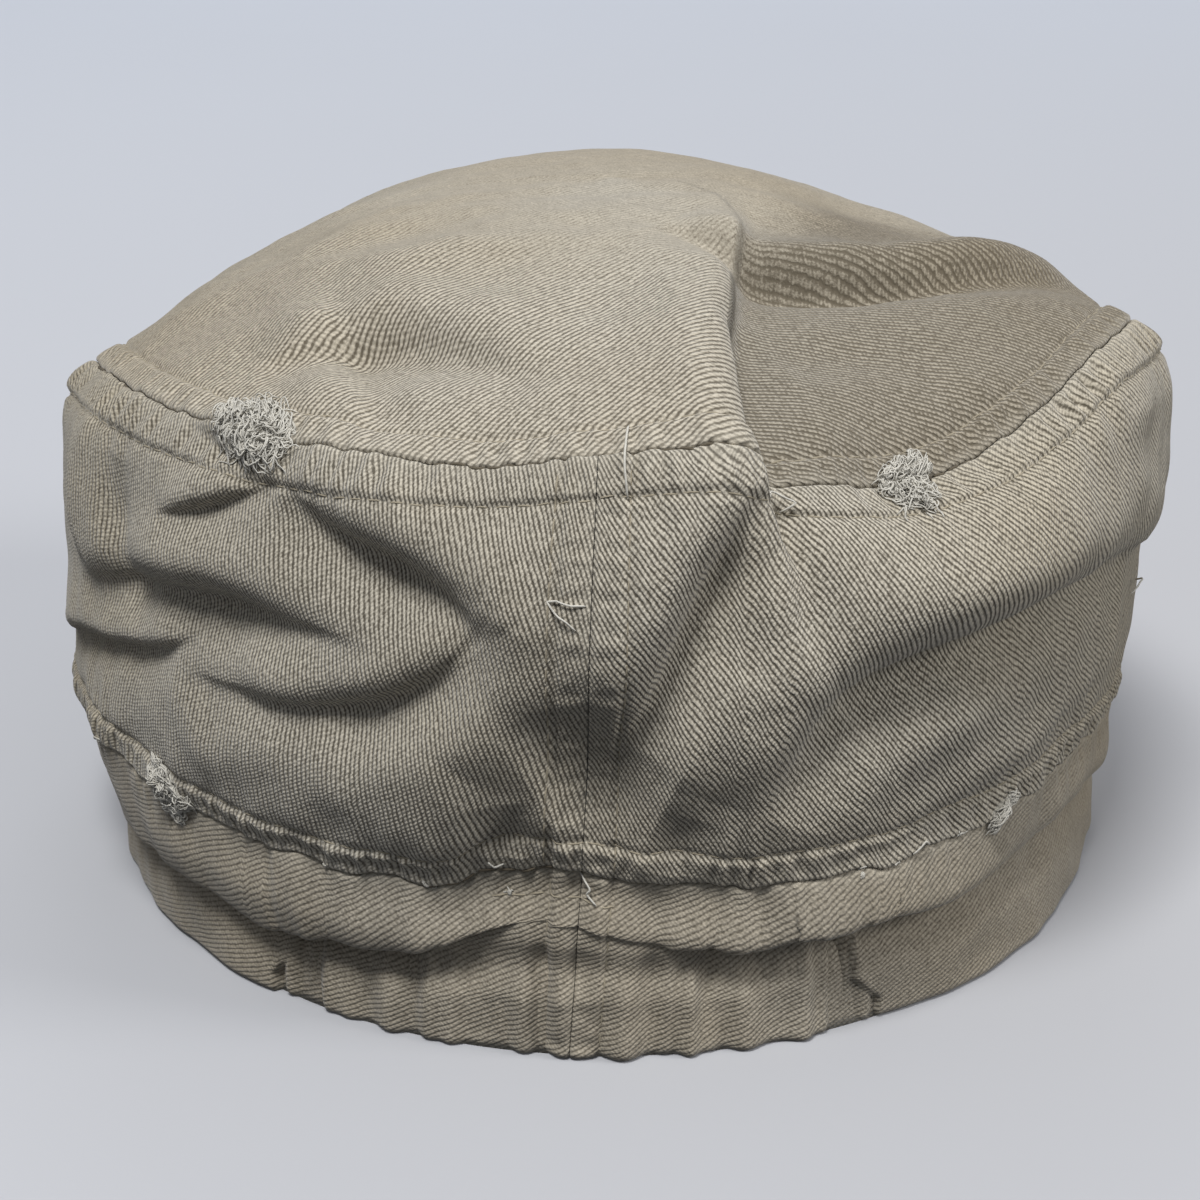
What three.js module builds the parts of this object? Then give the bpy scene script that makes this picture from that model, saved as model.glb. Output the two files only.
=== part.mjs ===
// Cadet cap of washed cotton twill, resting by itself on a table.
//
// The cap is a soft shell of named pieces: a round crown top, a side wall in two halves that meet at
// the centre back, a thicker band in two halves below it, and a peak at the front. Units are mm, +Z is
// up and the peak points to +Y. Every piece is cut from one folded surface, so neighbours always fit.
//
// A place on that surface is given by its turn, in degrees round the cap from the centre back towards
// +X, and its level: 0 is the rim, 1 the seam on the band, 2 the seam round the crown top and 3 the
// middle of the crown top.
import * as THREE from "three";

// Cloth
const CLOTH_WALL = 1.6;
const BAND_WALL = 2.4;
const SEAM_GAP = 0.3;

// Peak: it is sewn under the front of the band
const PEAK_WALL = 3.0;
const PEAK_EDGE_WALL = 2.2;
const PEAK_DEPTH = 54.5;
const PEAK_HALF_TURN = 55;
const PEAK_TUCK = 2.6;
const PEAK_FORWARD_LEAN = 0.4;
const PEAK_FRONT_ROUNDNESS = 2.4;
const PEAK_BELLY = 1.3;
const PEAK_CORNER_POWER = 0.75;
const PEAK_SIDE_SPREAD = 0.2;
const PEAK_EDGE_REACH = 0.6;

// Height of the middle of the crown top above the table
const CROWN_HEIGHT = 114.5;
// How flat the crown top is in its middle
const DOME_POWER = 2.4;

// Turn of the centre back seam at the rim, how much it turns with each level, and the turn from that
// seam at which the two halves of the wall are no longer moved by it
const SEAM_TURN = -4.5;
const SEAM_LEAN = 1.5;
const SEAM_FADE = 60;

// The origin is on the table under the middle of the cap's box
const CAP_MIDDLE = { x: 0.2, y: 25.2 };

// Level, and how far the wall stands from the middle to the left, right, back and front
const RINGS = [
  { level: 0, left: 89, right: 87.5, back: 104.5, front: 105.5 },
  { level: 0.3, left: 89.8, right: 87.5, back: 104.2, front: 106.5 },
  { level: 0.52, left: 91, right: 87, back: 102.6, front: 106 },
  { level: 0.75, left: 94, right: 88.5, back: 104, front: 106.5 },
  { level: 1, left: 94.5, right: 88.5, back: 102, front: 106 },
  { level: 1.15, left: 96.5, right: 91.5, back: 105.5, front: 107 },
  { level: 1.35, left: 96, right: 93.5, back: 107.5, front: 108 },
  { level: 1.6, left: 96.5, right: 95.8, back: 106.5, front: 108.5 },
  { level: 1.82, left: 95.5, right: 96, back: 104, front: 108 },
  { level: 1.92, left: 93.5, right: 94, back: 102, front: 107 },
  { level: 2, left: 89, right: 89, back: 99, front: 105 },
];

// Turn, and the heights of the rim, of the band seam and of the crown seam there. The rim lies on the
// table at the back and sides and is lifted over the peak at the front.
const HEIGHTS = [
  { turn: -180, rim: 12, band: 41, crown: 86 },
  { turn: -140, rim: 8, band: 37, crown: 80 },
  { turn: -110, rim: 2, band: 31, crown: 78 },
  { turn: -90, rim: 0, band: 28, crown: 81 },
  { turn: -75, rim: 0, band: 28.2, crown: 87.5 },
  { turn: -60, rim: 0, band: 30, crown: 90.5 },
  { turn: -40, rim: 0, band: 28.4, crown: 90.8 },
  { turn: -22, rim: 0, band: 27.2, crown: 91.2 },
  { turn: -15, rim: 0, band: 26.9, crown: 91.6 },
  { turn: -11, rim: 0, band: 29.4, crown: 92 },
  { turn: -4, rim: 0, band: 30.4, crown: 93.2 },
  { turn: 2, rim: 0, band: 28.8, crown: 94 },
  { turn: 8, rim: 0, band: 28.4, crown: 94.2 },
  { turn: 12, rim: 0, band: 27.8, crown: 92.4 },
  { turn: 20, rim: 0, band: 28.2, crown: 89.3 },
  { turn: 28, rim: 0, band: 28.2, crown: 87.8 },
  { turn: 36, rim: 0, band: 28.6, crown: 88.8 },
  { turn: 46, rim: 0, band: 29.8, crown: 92.4 },
  { turn: 60, rim: 0, band: 30.6, crown: 97.4 },
  { turn: 75, rim: 0, band: 28.4, crown: 95 },
  { turn: 90, rim: 0, band: 25.5, crown: 87.5 },
  { turn: 110, rim: 2, band: 28, crown: 82 },
  { turn: 140, rim: 8, band: 36, crown: 80 },
  { turn: 180, rim: 12, band: 41, crown: 86 },
];

// Every row is one fold of the cloth: how far it stands out (in, if negative), how wide it is, how
// sharp its step is (0 for a round fold), and the turns and levels that it passes through. A step is
// high on the left of its way, seen from outside.
const FOLDS = [
  { name: "crest left", depth: 2.2, width: 10, step: 0, way: [[-60, 2.3], [-38, 2.47], [-10, 2.63]] },
  { name: "crest right", depth: 3.4, width: 11, step: 0, way: [[58, 2.36], [78, 2.2], [100, 2.16]] },
  {
    name: "crown left pocket", depth: 5.6, width: 8, step: 3.2,
    way: [[-38, 2.08], [-33, 2.19], [-28, 2.26], [-20, 2.3], [-10, 2.28], [4, 2.2]],
  },
  {
    name: "crown left hollow", depth: 4.2, width: 8, step: 4,
    way: [[-23, 1.98], [-27, 2.07], [-32, 2.15], [-42, 2.25], [-54, 2.33]],
  },
  { name: "crown low swell", depth: 1.6, width: 7, step: 0, way: [[-30, 2.1], [-20, 2.14], [-8, 2.12]] },
  {
    name: "crown right drop", depth: 5.6, width: 9, step: 3.6,
    way: [[18, 2.68], [28, 2.61], [38, 2.54], [54, 2.41], [72, 2.23], [84, 2.1]],
  },
  { name: "crown far right", depth: -3.6, width: 17, step: 0, way: [[40, 2.66], [80, 2.5], [135, 2.45]] },
  {
    name: "crown right sink", depth: -4, width: 10, step: 0,
    way: [[30, 2.56], [48, 2.45], [66, 2.3], [86, 2.12]],
  },
  { name: "dip right", depth: -2.4, width: 13, step: 0, way: [[22, 2.3], [40, 2.3], [54, 2.2]] },
  {
    name: "back fold", depth: 4.6, width: 12, step: 3.6,
    way: [
      [17, 1.5], [14.5, 1.74], [13, 1.95], [12.2, 2.08], [14, 2.22],
      [18.5, 2.36], [25.5, 2.5], [38, 2.62], [64, 2.74],
    ],
  },
  {
    name: "back tuck", depth: 0.9, width: 6, step: 1.2,
    way: [[17, 1.7], [13.2, 1.93], [12.2, 2.06], [13.5, 2.2], [16, 2.3]],
  },
  { name: "right shoulder", depth: -3.4, width: 8, step: 0, way: [[15, 2], [34, 1.99], [62, 2]] },
  { name: "far left ridge", depth: 2.4, width: 6, step: 0, way: [[-61, 1.93], [-63, 1.72], [-66, 1.5]] },
  { name: "far left hollow", depth: -3, width: 5, step: 0, way: [[-54, 1.86], [-54, 1.7], [-52, 1.55]] },
  { name: "upper nick", depth: 1.4, width: 4, step: 1.5, way: [[-46, 2], [-38, 1.965], [-31, 1.92]] },
  { name: "lower nick", depth: 2, width: 5, step: 1.6, way: [[-46, 1.78], [-39, 1.85], [-32, 1.93]] },
  {
    name: "left pocket", depth: 4.4, width: 9, step: 4,
    way: [[-66, 1.46], [-53, 1.57], [-44, 1.62], [-36, 1.64], [-29, 1.63], [-21, 1.6]],
  },
  {
    name: "low left drop", depth: 2.4, width: 6, step: 2,
    way: [[-84, 1.16], [-70, 1.27], [-58, 1.34], [-48, 1.42], [-42, 1.5]],
  },
  {
    name: "long valley", depth: 4.8, width: 9, step: 3.8,
    way: [[-31, 1.93], [-25, 1.86], [-19, 1.81], [-14, 1.74], [-10.5, 1.62]],
  },
  {
    name: "lower valley", depth: 3.8, width: 8, step: 4,
    way: [[-45, 1.4], [-35, 1.42], [-27, 1.44], [-20, 1.5], [-14, 1.6], [-11, 1.7]],
  },
  { name: "left bulge", depth: 2.4, width: 9, step: 0, way: [[-42, 1.2], [-26, 1.22], [-13, 1.2]] },
  {
    name: "bulge drop", depth: 1.1, width: 5, step: 2,
    way: [[-50, 1.04], [-28, 1.045], [-14, 1.08], [-8, 1.2]],
  },
  {
    name: "ridge by seam", depth: 2.4, width: 6, step: 0,
    way: [[-8, 1.86], [-9, 1.6], [-11.5, 1.43], [-14, 1.33]],
  },
  { name: "centre drop", depth: 3.6, width: 15, step: 8, way: [[-10, 1.5], [-2, 1.56], [7, 1.5]] },
  { name: "centre hollow", depth: -2.8, width: 8, step: 0, way: [[-6, 1.18], [-2, 1.2], [4, 1.16]] },
  {
    name: "right valley", depth: 4.6, width: 7, step: 3.2,
    way: [[1.5, 1.4], [4, 1.55], [7.2, 1.72], [9.8, 1.84], [12.2, 1.96]],
  },
  { name: "centre ridge", depth: 1.8, width: 5, step: 0, way: [[10, 1.56], [7.5, 1.42], [4, 1.2]] },
  {
    name: "right swell", depth: 3.4, width: 9, step: 0,
    way: [[14, 1.84], [21, 1.77], [34, 1.78], [48, 1.78]],
  },
  {
    name: "right diagonal", depth: 5.6, width: 11, step: 5,
    way: [[11.5, 1.12], [15.5, 1.32], [20, 1.5], [27, 1.58], [36, 1.6], [48, 1.56], [62, 1.5], [82, 1.44]],
  },
  {
    name: "right low ridge", depth: 2.2, width: 6, step: 0,
    way: [[60, 1.36], [42, 1.4], [30, 1.36], [19, 1.16]],
  },
  {
    name: "right low drop", depth: 1.4, width: 6, step: 3,
    way: [[16, 1.02], [28, 1.08], [46, 1.16], [64, 1.18]],
  },
  { name: "left tuck", depth: -2, width: 4, step: 0, way: [[-9.5, 1.04], [-9.8, 1.1], [-10.5, 1.2]] },
  { name: "right tuck", depth: -1.6, width: 4, step: 0, way: [[5.5, 1.03], [6, 1.1], [7, 1.18]] },
  { name: "band top hollow", depth: -1.4, width: 5, step: 0, way: [[-24, 0.9], [-8, 0.9], [12, 0.86]] },
  {
    name: "left band lip", depth: 2.8, width: 7, step: 1.4,
    way: [[-84, 0.45], [-66, 0.5], [-50, 0.57], [-36, 0.57], [-22, 0.64], [-9, 0.72]],
  },
  {
    name: "middle band lip", depth: 1.4, width: 5, step: 1.4,
    way: [[-14, 0.72], [-4, 0.73], [6, 0.65], [11, 0.64]],
  },
  {
    name: "right band lip", depth: 3.2, width: 7, step: 1.4,
    way: [[5, 0.63], [13, 0.7], [22, 0.75], [33, 0.7], [50, 0.63]],
  },
  { name: "side band lip", depth: 1.8, width: 8, step: 2.5, way: [[46, 0.6], [60, 0.65], [84, 0.53]] },
  { name: "front dip", depth: -1.6, width: 12, step: 0, way: [[150, 1.7], [172, 1.55], [200, 1.66]] },
  { name: "front side dip", depth: -2, width: 10, step: 0, way: [[104, 1.75], [112, 1.5], [118, 1.25]] },
  { name: "left side dip", depth: -1.8, width: 10, step: 0, way: [[-100, 1.7], [-112, 1.5], [-124, 1.3]] },
];
const FOLD_SAMPLES = 14;
const FOLD_REACH = 3;
const ROUND_END_SHARE = 0.25;
const FOLD_END_POWER = 0.8;
// The foot of a step is sharper than its shoulder by this share
const STEP_FOOT_SHARE = 0.45;
// Height in mm that stands for one level when a fold's way is rounded
const WAY_LEVEL_MM = 60;

// Steps of the mesh: fine at the back, where the folds are, and coarser at the front
const BACK_HALF_TURN = 90;
const BACK_STEPS = 34;
const FRONT_STEPS = 13;
const BAND_LEVELS = 7;
const SIDE_LEVELS = 12;
const CROWN_LEVELS = 8;
const PEAK_STEPS = 24;
const PEAK_ROWS = 5;

// Distances used to measure the surface's slope
const TURN_PROBE = 0.2;
const LEVEL_PROBE = 0.03;
const RIM_UPRIGHT_LEVELS = 0.15;

const TWILL = { color: 0xa39a86, roughness: 0.95, metalness: 0 };
const TWILL_BAND = { color: 0x9a8f7b, roughness: 0.95, metalness: 0 };

// A smooth curve through the named columns x and y of a table, without overshoot. The slope at each
// row is the harmonic mean of the slopes on both sides, and 0 at a peak or a dip. With flatEnds it is
// 0 at the first and the last row too.
function smoothColumn(rows, x, y, at, flatEnds) {
  let k = 0;
  while (k < rows.length - 2 && at > rows[k + 1][x]) k += 1;
  const rise = (i) => (rows[i + 1][y] - rows[i][y]) / (rows[i + 1][x] - rows[i][x]);
  const slope = (i) => {
    if (flatEnds && (i === 0 || i === rows.length - 1)) return 0;
    if (i === 0) return rise(0);
    if (i === rows.length - 1) return rise(i - 1);
    const before = rise(i - 1);
    const after = rise(i);
    return before * after > 0 ? (2 * before * after) / (before + after) : 0;
  };
  const gap = rows[k + 1][x] - rows[k][x];
  const s = (at - rows[k][x]) / gap;
  const rest = 1 - s;
  return (
    rows[k][y] * (1 + 2 * s) * rest * rest +
    gap * slope(k) * s * rest * rest +
    rows[k + 1][y] * s * s * (3 - 2 * s) -
    gap * slope(k + 1) * s * s * rest
  );
}

const wrap = (turn) => turn - 360 * Math.floor((turn + 180) / 360);
const ringAt = (side, level) => smoothColumn(RINGS, "level", side, level, false);
const heightAt = (seam, turn) => smoothColumn(HEIGHTS, "turn", seam, wrap(turn), true);

// The turn of a column of the wall, which leans with the centre back seam near it
function leaningTurn(turn, level) {
  const seam = SEAM_TURN + SEAM_LEAN * level;
  return turn + seam * (1 - THREE.MathUtils.smoothstep(Math.abs(turn), 0, SEAM_FADE));
}

// The cap before its folds
function plainSurface(turn, level) {
  const wallLevel = Math.min(level, 2);
  const toMiddle = level > 2 ? 3 - level : 1;
  const sine = Math.sin(THREE.MathUtils.degToRad(turn));
  const cosine = Math.cos(THREE.MathUtils.degToRad(turn));
  const x = ringAt(sine > 0 ? "right" : "left", wallLevel) * sine * toMiddle;
  const y = -ringAt(cosine > 0 ? "back" : "front", wallLevel) * cosine * toMiddle;
  const rim = heightAt("rim", turn);
  const band = heightAt("band", turn);
  const crown = heightAt("crown", turn);
  let z = level <= 1 ? rim + (band - rim) * level : band + (crown - band) * (wallLevel - 1);
  if (level > 2) z += (CROWN_HEIGHT - crown) * (1 - toMiddle ** DOME_POWER);
  return new THREE.Vector3(x, y, z);
}

// Straight out of the plain surface; level with the table near the rim, so that the rim stays flat
function outward(turn, level) {
  if (level > 3 - LEVEL_PROBE) return new THREE.Vector3(0, 0, 1);
  const low = Math.max(level - LEVEL_PROBE, 0);
  const round = plainSurface(turn + TURN_PROBE, level).sub(plainSurface(turn - TURN_PROBE, level));
  const up = plainSurface(turn, level + LEVEL_PROBE).sub(plainSurface(turn, low));
  const out = round.cross(up);
  out.z *= THREE.MathUtils.smoothstep(level, 0, RIM_UPRIGHT_LEVELS);
  return out.normalize();
}

// Each fold's way as points on the plain surface, evenly spread over the rows of its table entry
const foldLines = FOLDS.map((fold) => {
  const corners = fold.way.map(([turn, level]) => new THREE.Vector3(turn, level * WAY_LEVEL_MM, 0));
  const way = new THREE.CatmullRomCurve3(corners);
  const points = way.getPoints(FOLD_SAMPLES).map((p) => plainSurface(p.x, p.y / WAY_LEVEL_MM));
  const box = new THREE.Box3().setFromPoints(points).expandByScalar(fold.width * FOLD_REACH);
  return { ...fold, points, box };
});

// How far the folds move a point of the plain surface along its outward direction
function foldHeight(place, out) {
  let height = 0;
  for (const { points, box, depth, width, step } of foldLines) {
    if (!box.containsPoint(place)) continue;
    let nearest = Infinity;
    let along = 0;
    let side = 0;
    for (let i = 0; i < points.length - 1; i += 1) {
      const way = points[i + 1].clone().sub(points[i]);
      const from = place.clone().sub(points[i]);
      const share = THREE.MathUtils.clamp(from.dot(way) / way.lengthSq(), 0, 1);
      const away = from.addScaledVector(way, -share);
      if (away.length() < nearest) {
        nearest = away.length();
        along = (i + share) / (points.length - 1);
        side = way.normalize().cross(away).dot(out);
      }
    }
    const swell = Math.sin(Math.PI * along) ** FOLD_END_POWER;
    const bell = Math.exp(-((nearest / width) ** 2));
    const span = side > 0 ? step : step * STEP_FOOT_SHARE;
    if (step) height += depth * swell * bell * Math.tanh(side / span);
    else height += depth * (ROUND_END_SHARE + (1 - ROUND_END_SHARE) * swell) * bell;
  }
  return height;
}

// A point on the outside of the cloth, or depth mm inside it
function clothPoint(turn, level, depth) {
  const place = plainSurface(turn, level);
  const out = outward(turn, level);
  return place.clone().addScaledVector(out, foldHeight(place, out) - depth);
}

// A closed solid between two grids of points with the same rows and columns. With round set, the
// last column joins the first. With pole set, the last row is one point.
function solidBetween(outer, inner, { round = false, pole = false } = {}) {
  const positions = [];
  const faces = [];
  const indexOf = (grid) =>
    grid.map((row, r) => {
      if (pole && r === grid.length - 1) {
        positions.push(...row[0].toArray());
        return row.map(() => positions.length / 3 - 1);
      }
      return row.map((point) => {
        positions.push(...point.toArray());
        return positions.length / 3 - 1;
      });
    });
  const out = indexOf(outer);
  const back = indexOf(inner);
  const face = (a, b, c) => {
    if (a !== b && b !== c && c !== a) faces.push(a, b, c);
  };
  const quad = (a, b, c, d) => {
    face(a, b, c);
    face(a, c, d);
  };
  const columns = outer[0].length;
  const last = outer.length - 1;
  const spans = round ? columns : columns - 1;
  for (let c = 0; c < spans; c += 1) {
    const next = (c + 1) % columns;
    for (let r = 0; r < last; r += 1) {
      quad(out[r][c], out[r][next], out[r + 1][next], out[r + 1][c]);
      quad(back[r][next], back[r][c], back[r + 1][c], back[r + 1][next]);
    }
    quad(back[0][c], back[0][next], out[0][next], out[0][c]);
    if (!pole) quad(out[last][c], out[last][next], back[last][next], back[last][c]);
  }
  if (!round) {
    const end = columns - 1;
    for (let r = 0; r < last; r += 1) {
      quad(back[r][0], out[r][0], out[r + 1][0], back[r + 1][0]);
      quad(out[r][end], back[r][end], back[r + 1][end], out[r + 1][end]);
    }
  }
  const geometry = new THREE.BufferGeometry();
  geometry.setAttribute("position", new THREE.Float32BufferAttribute(positions, 3));
  geometry.setIndex(faces);
  geometry.computeVertexNormals();
  return geometry;
}

const steps = (from, to, count) =>
  Array.from({ length: count + 1 }, (_, i) => from + ((to - from) * i) / count);

// Turns from the centre back to the centre front on one side, clear of both seams by half the gap
function halfTurns(side) {
  const backGap = THREE.MathUtils.radToDeg(SEAM_GAP / 2 / RINGS[0].back);
  const turns = [
    ...steps(backGap, BACK_HALF_TURN, BACK_STEPS),
    ...steps(BACK_HALF_TURN, 180 - backGap, FRONT_STEPS).slice(1),
  ];
  return side > 0 ? turns : turns.map((turn) => -turn).reverse();
}

// A piece of cloth over those turns and levels; turnAt gives the turn of a column at each level
function clothPiece(turns, levels, wall, turnAt, options) {
  const row = (level, depth) => turns.map((turn) => clothPoint(turnAt(turn, level), level, depth));
  const grid = (depth) => levels.map((level) => row(level, depth));
  return solidBetween(grid(0), grid(wall), options);
}

const SIDE_HEIGHT = 62;
const sideGap = SEAM_GAP / SIDE_HEIGHT / 2;
const crownGap = SEAM_GAP / RINGS.at(-1).back;
const bandLevels = steps(0, 1 - sideGap, BAND_LEVELS);
const sideLevels = steps(1 + sideGap, 2 - sideGap, SIDE_LEVELS);
const crownLevels = steps(2 + crownGap, 3, CROWN_LEVELS);
const roundTurns = [...halfTurns(-1).slice(1), ...halfTurns(1)];

// The peak: a curved blade under the front of the band, down to the table at its outer edge
function peakPiece() {
  const top = [];
  const bottom = [];
  for (const u of steps(0, 1, PEAK_ROWS)) {
    const topRow = [];
    const bottomRow = [];
    for (const across of steps(1, -1, PEAK_STEPS)) {
      const turn = 180 + across * PEAK_HALF_TURN;
      const root = plainSurface(turn, 0);
      const out = outward(turn, 0);
      const forward = new THREE.Vector3(out.x * PEAK_FORWARD_LEAN, Math.abs(out.y) + PEAK_SIDE_SPREAD, 0);
      forward.normalize();
      const depth = PEAK_DEPTH * (1 - Math.abs(across) ** PEAK_FRONT_ROUNDNESS) ** PEAK_CORNER_POWER;
      const wall = PEAK_WALL + (PEAK_EDGE_WALL - PEAK_WALL) * u;
      const seat = root.z - SEAM_GAP;
      const drop = (seat - PEAK_EDGE_WALL) * u ** PEAK_BELLY;
      const edge = root.clone().addScaledVector(out, -PEAK_TUCK * (1 - u));
      edge.addScaledVector(forward, (depth + PEAK_EDGE_REACH) * u);
      topRow.push(new THREE.Vector3(edge.x, edge.y, seat - drop));
      bottomRow.push(new THREE.Vector3(edge.x, edge.y, seat - drop - wall));
    }
    top.push(topRow);
    bottom.push(bottomRow);
  }
  return solidBetween(top, bottom);
}

const sameTurn = (turn) => turn;
const cap = new THREE.Group();

function addPiece(name, geometry, look) {
  const mesh = new THREE.Mesh(geometry, new THREE.MeshStandardMaterial(look));
  mesh.name = name;
  cap.add(mesh);
}

const crown = clothPiece(roundTurns, crownLevels, CLOTH_WALL, sameTurn, { round: true, pole: true });
addPiece("crown_top", crown, TWILL);
addPiece("side_left", clothPiece(halfTurns(-1), sideLevels, CLOTH_WALL, leaningTurn), TWILL);
addPiece("side_right", clothPiece(halfTurns(1), sideLevels, CLOTH_WALL, leaningTurn), TWILL);
addPiece("band_left", clothPiece(halfTurns(-1), bandLevels, BAND_WALL, leaningTurn), TWILL_BAND);
addPiece("band_right", clothPiece(halfTurns(1), bandLevels, BAND_WALL, leaningTurn), TWILL_BAND);
addPiece("peak", peakPiece(), TWILL_BAND);

cap.position.set(-CAP_MIDDLE.x, -CAP_MIDDLE.y, 0);

export default cap;
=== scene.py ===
"""Cadet cap of washed khaki cotton twill, resting on a plain pale floor."""
import math

import bpy
import numpy as np
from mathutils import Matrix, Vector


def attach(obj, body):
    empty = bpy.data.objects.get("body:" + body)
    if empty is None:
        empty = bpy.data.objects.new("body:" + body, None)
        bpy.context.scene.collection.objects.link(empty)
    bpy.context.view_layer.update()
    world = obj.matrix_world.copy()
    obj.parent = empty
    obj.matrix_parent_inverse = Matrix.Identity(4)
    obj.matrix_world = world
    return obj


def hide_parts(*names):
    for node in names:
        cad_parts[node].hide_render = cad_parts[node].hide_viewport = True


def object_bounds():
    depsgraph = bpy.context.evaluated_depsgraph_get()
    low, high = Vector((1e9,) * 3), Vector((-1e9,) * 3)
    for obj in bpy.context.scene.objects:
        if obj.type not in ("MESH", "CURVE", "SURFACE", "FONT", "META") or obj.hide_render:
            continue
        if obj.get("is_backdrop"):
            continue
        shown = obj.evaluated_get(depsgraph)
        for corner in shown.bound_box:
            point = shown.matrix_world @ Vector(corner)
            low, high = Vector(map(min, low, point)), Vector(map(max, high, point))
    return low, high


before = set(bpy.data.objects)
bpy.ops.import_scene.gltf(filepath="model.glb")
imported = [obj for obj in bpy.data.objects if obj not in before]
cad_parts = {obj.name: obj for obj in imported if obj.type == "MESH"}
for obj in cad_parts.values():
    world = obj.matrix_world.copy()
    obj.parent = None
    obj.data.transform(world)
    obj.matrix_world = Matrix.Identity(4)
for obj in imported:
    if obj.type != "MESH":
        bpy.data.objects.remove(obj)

cad_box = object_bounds()

# Sizes are in mm, and turned into metres when a mesh is made. A place on the cloth is given by its
# turn, in degrees round the cap from the centre back towards +X, and its level: 0 is the rim, 1 the
# seam on the band, 2 the seam round the crown top and 3 the middle of the crown top.
CLOTH_WALL = 1.6
BAND_WALL = 2.4
SEAM_GAP = 0.1
CROWN_HEIGHT = 114.5
DOME_POWER = 2.4
CAP_MIDDLE = np.array([0.2, 25.2, 0.0])
TWILL_PITCH = 0.76
YARN_PITCH = 0.64
ALLOWANCE = 5.2
GIRTH_RADIUS = 98.0
BACK_RADIUS = 103.0
BAND_MM = 28.0
SIDE_MM = 62.0
CROWN_MM = 99.0
UV_MM = 100.0
SEAM_TURN = -4.5
SEAM_LEAN = 1.5
SEAM_FADE = 60.0


def table(columns, rows):
    """A short table as a dict of named columns."""
    return {name: np.array([row[k] for row in rows], float) for k, name in enumerate(columns.split())}


RINGS = table("level left right back front", [
    (0.0, 89.0, 87.5, 104.5, 105.5),
    (0.3, 89.8, 87.5, 104.2, 106.5),
    (0.52, 91.0, 87.0, 102.6, 106.0),
    (0.75, 94.0, 88.5, 104.0, 106.5),
    (1.0, 95.8, 89.4, 104.0, 106.0),
    (1.15, 96.3, 91.7, 105.8, 107.0),
    (1.35, 96.0, 93.5, 107.5, 108.0),
    (1.6, 96.5, 95.8, 106.5, 108.5),
    (1.82, 95.5, 96.0, 104.0, 108.0),
    (1.92, 93.5, 94.0, 102.0, 107.0),
    (2.0, 89.0, 89.0, 99.0, 105.0),
])
HEIGHTS = table("turn rim band crown", [
    (-180, 12, 41, 86), (-140, 8, 37, 80), (-110, 2, 31, 78), (-90, 0, 28, 81),
    (-75, 0, 28.2, 87.5), (-60, 0, 30, 90.5), (-40, 0, 28.4, 90.8), (-22, 0, 27.2, 91.2),
    (-15, 0, 26.9, 91.6), (-11, 0, 29.4, 92), (-4, 0, 30.4, 93.2), (2, 0, 28.8, 94),
    (8, 0, 28.4, 94.2), (12, 0, 27.8, 92.4), (20, 0, 28.2, 89.3), (28, 0, 28.2, 87.8),
    (36, 0, 28.6, 88.8), (46, 0, 29.8, 92.4), (60, 0, 30.6, 97.4), (75, 0, 28.4, 95),
    (90, 0, 25.5, 87.5), (110, 2, 28, 82), (140, 8, 36, 80), (180, 12, 41, 86),
])

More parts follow.
